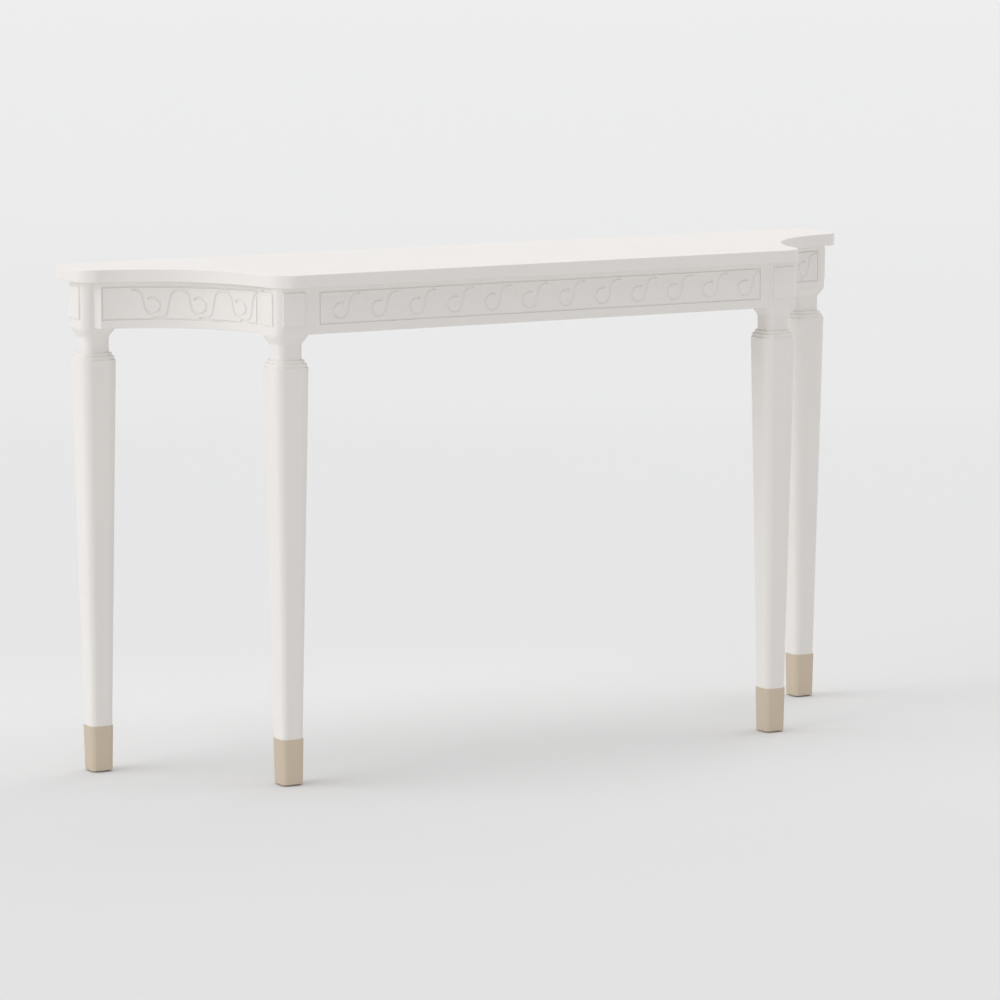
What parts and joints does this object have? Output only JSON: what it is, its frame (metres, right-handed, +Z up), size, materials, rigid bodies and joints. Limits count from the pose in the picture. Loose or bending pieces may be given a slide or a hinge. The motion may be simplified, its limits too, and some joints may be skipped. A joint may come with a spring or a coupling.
{
  "type": "pier table",
  "caption": "Long narrow pier table with concave ends, a carved running-scroll frieze and square tapered legs on metal sabots.",
  "frame": {"origin": "on the floor, at the centre of the table's box", "axes": "+X along the length to the right, +Y to the back, +Z up"},
  "size_m": [1.512, 0.39, 0.864],
  "materials": {
    "painted_wood": "satin white lacquer",
    "bare_wood": "planed, unfinished",
    "sabot_metal": "brushed champagne",
    "glide_nylon": "moulded",
    "screw_steel": "zinc plated"
  },
  "bodies": {
    "root": {"apron_dowels": "bare_wood", "back_apron": "painted_wood", "front_apron": "painted_wood", "left_back_glide": "glide_nylon", "left_back_glue_block": "bare_wood", "left_back_leg": "painted_wood", "left_back_sabot": "sabot_metal", "left_cross_rail": "bare_wood", "left_end_apron": "painted_wood", "left_front_glide": "glide_nylon", "left_front_glue_block": "bare_wood", "left_front_leg": "painted_wood", "left_front_sabot": "sabot_metal", "rail_dowels": "bare_wood", "right_back_glide": "glide_nylon", "right_back_glue_block": "bare_wood", "right_back_leg": "painted_wood", "right_back_sabot": "sabot_metal", "right_cross_rail": "bare_wood", "right_end_apron": "painted_wood", "right_front_glide": "glide_nylon", "right_front_glue_block": "bare_wood", "right_front_leg": "painted_wood", "right_front_sabot": "sabot_metal", "top": "painted_wood", "top_screws": "screw_steel"}
  },
  "joints": []
}
